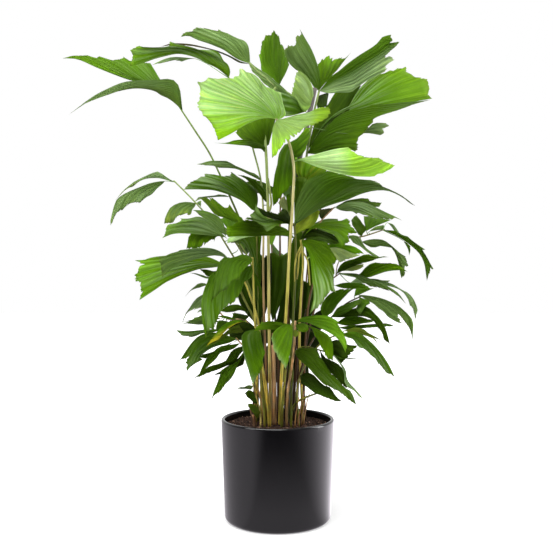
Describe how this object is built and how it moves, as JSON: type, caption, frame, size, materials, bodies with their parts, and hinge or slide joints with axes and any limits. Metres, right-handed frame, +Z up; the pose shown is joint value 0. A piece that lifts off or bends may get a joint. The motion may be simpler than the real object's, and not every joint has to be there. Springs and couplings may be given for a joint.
{
  "type": "potted fishtail palm",
  "caption": "Fishtail palm with ragged wedge-shaped leaflets on slender upright stems, growing from soil in a round dark grey pot.",
  "frame": {"origin": "on the pot's axis at the level of its flat underside", "axes": "+Z up along the pot's axis, -Y towards the pictured front, +X to the right of that view"},
  "size_m": [1.0147, 0.6898, 1.2488],
  "materials": {
    "pot": "satin",
    "soil": "matte",
    "frond_front_bright": "satin",
    "frond_front_right": "satin",
    "frond_front_left": "satin",
    "frond_lime": "satin",
    "frond_top": "satin",
    "frond_centre": "satin",
    "frond_big_hanging": "satin",
    "frond_low_fan_left": "satin",
    "frond_hanging_left": "satin",
    "frond_wide_fan_left": "satin",
    "frond_left_yellow": "satin",
    "frond_low_left": "satin",
    "frond_low_right": "satin",
    "frond_bottom_right": "satin",
    "frond_low_shoot": "satin",
    "frond_right_low": "satin",
    "frond_right_spray": "satin",
    "frond_right_middle": "satin",
    "frond_right_arching": "satin",
    "frond_right_upper": "satin",
    "frond_fan_left": "satin",
    "frond_far_left": "satin",
    "frond_upper_left": "satin",
    "frond_left": "satin",
    "frond_mid_left": "satin",
    "frond_left_behind": "satin",
    "frond_upper_right": "satin",
    "frond_dark_centre": "satin",
    "frond_grey_cane": "satin",
    "frond_back_high": "satin",
    "frond_back_middle": "satin",
    "frond_back_right": "satin",
    "frond_back_left": "satin",
    "frond_inner_left": "satin",
    "frond_inner_middle": "satin",
    "frond_inner_right": "satin",
    "cane_fibrous": "matte",
    "cane_brown": "matte",
    "stub_left": "matte",
    "stub_left_low": "matte",
    "dead_stalk_a": "matte",
    "dead_stalk_b": "matte",
    "dead_stalk_c": "matte",
    "dead_stalk_d": "matte",
    "cane_dark_middle": "matte",
    "cane_dark_left": "matte",
    "cane_dark_right": "matte"
  },
  "bodies": {
    "root": {"pot": "pot", "soil": "soil", "frond_front_bright": "frond_front_bright", "frond_front_right": "frond_front_right", "frond_front_left": "frond_front_left", "frond_lime": "frond_lime", "frond_top": "frond_top", "frond_centre": "frond_centre", "frond_big_hanging": "frond_big_hanging", "frond_low_fan_left": "frond_low_fan_left", "frond_hanging_left": "frond_hanging_left", "frond_wide_fan_left": "frond_wide_fan_left", "frond_left_yellow": "frond_left_yellow", "frond_low_left": "frond_low_left", "frond_low_right": "frond_low_right", "frond_bottom_right": "frond_bottom_right", "frond_low_shoot": "frond_low_shoot", "frond_right_low": "frond_right_low", "frond_right_spray": "frond_right_spray", "frond_right_middle": "frond_right_middle", "frond_right_arching": "frond_right_arching", "frond_right_upper": "frond_right_upper", "frond_fan_left": "frond_fan_left", "frond_far_left": "frond_far_left", "frond_upper_left": "frond_upper_left", "frond_left": "frond_left", "frond_mid_left": "frond_mid_left", "frond_left_behind": "frond_left_behind", "frond_upper_right": "frond_upper_right", "frond_dark_centre": "frond_dark_centre", "frond_grey_cane": "frond_grey_cane", "frond_back_high": "frond_back_high", "frond_back_middle": "frond_back_middle", "frond_back_right": "frond_back_right", "frond_back_left": "frond_back_left", "frond_inner_left": "frond_inner_left", "frond_inner_middle": "frond_inner_middle", "frond_inner_right": "frond_inner_right", "cane_fibrous": "cane_fibrous", "cane_brown": "cane_brown", "stub_left": "stub_left", "stub_left_low": "stub_left_low", "dead_stalk_a": "dead_stalk_a", "dead_stalk_b": "dead_stalk_b", "dead_stalk_c": "dead_stalk_c", "dead_stalk_d": "dead_stalk_d", "cane_dark_middle": "cane_dark_middle", "cane_dark_left": "cane_dark_left", "cane_dark_right": "cane_dark_right"}
  },
  "joints": []
}
